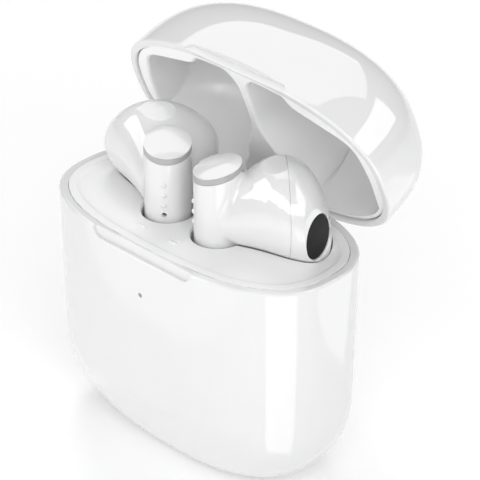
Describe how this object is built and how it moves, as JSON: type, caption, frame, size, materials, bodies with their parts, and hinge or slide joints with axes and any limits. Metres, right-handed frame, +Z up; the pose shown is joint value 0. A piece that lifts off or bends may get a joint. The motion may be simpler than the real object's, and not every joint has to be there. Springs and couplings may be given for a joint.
{
  "type": "wireless earbud charging case",
  "caption": "White standing charging case with its hinged lid open and a pair of stemmed wireless earbuds seated in its tray.",
  "frame": {"origin": "middle of the flat underneath that the case stands on", "axes": "+Z up, -Y towards the front with the status light and the finger notch, +X to the right earbud's side as seen from the front"},
  "size_m": [0.05, 0.041, 0.0613],
  "materials": {
    "gloss_white": "glossy injection moulded",
    "satin_white": "satin moulded",
    "ring_silver": "satin metallised",
    "plated_steel": "nickel plated",
    "gold_plate": "gold flashed",
    "black_mesh": "fine woven mesh",
    "light_pipe": "smoked clear, unlit",
    "cell_foil": "dull foil wrap",
    "grey_foam": "closed-cell foam",
    "green_board": "solder mask over glass laminate",
    "black_plastic": "moulded"
  },
  "bodies": {
    "base": {"base_magnet_left": "plated_steel", "base_magnet_right": "plated_steel", "base_shell": "gloss_white", "battery_pad": "grey_foam", "case_battery": "cell_foil", "charge_board": "green_board", "charge_chip": "black_plastic", "charging_socket": "plated_steel", "hinge_block": "plated_steel", "hinge_pin": "plated_steel", "hinge_spring": "plated_steel", "inner_tray": "satin_white", "pin_sleeve_left_inner": "gold_plate", "pin_sleeve_left_outer": "gold_plate", "pin_sleeve_right_inner": "gold_plate", "pin_sleeve_right_outer": "gold_plate", "socket_tongue": "black_plastic", "status_light": "light_pipe"},
    "lid": {"lid_hinge_arm": "plated_steel", "lid_liner": "satin_white", "lid_magnet_left": "plated_steel", "lid_magnet_right": "plated_steel", "lid_shell": "gloss_white"},
    "earbud_right": {"cap_ring_right": "ring_silver", "earbud_battery_right": "cell_foil", "earbud_board_right": "green_board", "earbud_contact_right_inner": "gold_plate", "earbud_contact_right_outer": "gold_plate", "front_shell_right": "gloss_white", "sound_mesh_right": "black_mesh", "speaker_right": "plated_steel", "stem_end_right": "gloss_white", "stem_shell_right": "gloss_white", "touch_cap_right": "gloss_white"},
    "pin_right_inner": {"contact_pin_right_inner": "gold_plate"},
    "pin_right_outer": {"contact_pin_right_outer": "gold_plate"},
    "earbud_left": {"cap_ring_left": "ring_silver", "earbud_battery_left": "cell_foil", "earbud_board_left": "green_board", "earbud_contact_left_inner": "gold_plate", "earbud_contact_left_outer": "gold_plate", "front_shell_left": "gloss_white", "sound_mesh_left": "black_mesh", "speaker_left": "plated_steel", "stem_end_left": "gloss_white", "stem_shell_left": "gloss_white", "touch_cap_left": "gloss_white"},
    "pin_left_inner": {"contact_pin_left_inner": "gold_plate"},
    "pin_left_outer": {"contact_pin_left_outer": "gold_plate"}
  },
  "joints": [
    {"name": "lid_hinge", "type": "hinge", "parent": "base", "child": "lid", "pos_m": [0, 0.0118, 0.0341], "axis": [-1, 0, 0], "range_deg": [-68.7, 0]},
    {"name": "earbud_lift_right", "type": "slide", "parent": "base", "child": "earbud_right", "axis": [0, 0, 1], "range_m": [0, 0.006]},
    {"name": "earbud_lift_left", "type": "slide", "parent": "base", "child": "earbud_left", "axis": [0, 0, 1], "range_m": [0, 0.006]},
    {"name": "pin_travel_right_inner", "type": "slide", "parent": "base", "child": "pin_right_inner", "axis": [0, 0, 1], "range_m": [-0.0005, 0], "stiffness_N_per_m": 200},
    {"name": "pin_travel_right_outer", "type": "slide", "parent": "base", "child": "pin_right_outer", "axis": [0, 0, 1], "range_m": [-0.0005, 0], "stiffness_N_per_m": 200},
    {"name": "pin_travel_left_inner", "type": "slide", "parent": "base", "child": "pin_left_inner", "axis": [0, 0, 1], "range_m": [-0.0005, 0], "stiffness_N_per_m": 200},
    {"name": "pin_travel_left_outer", "type": "slide", "parent": "base", "child": "pin_left_outer", "axis": [0, 0, 1], "range_m": [-0.0005, 0], "stiffness_N_per_m": 200}
  ]
}
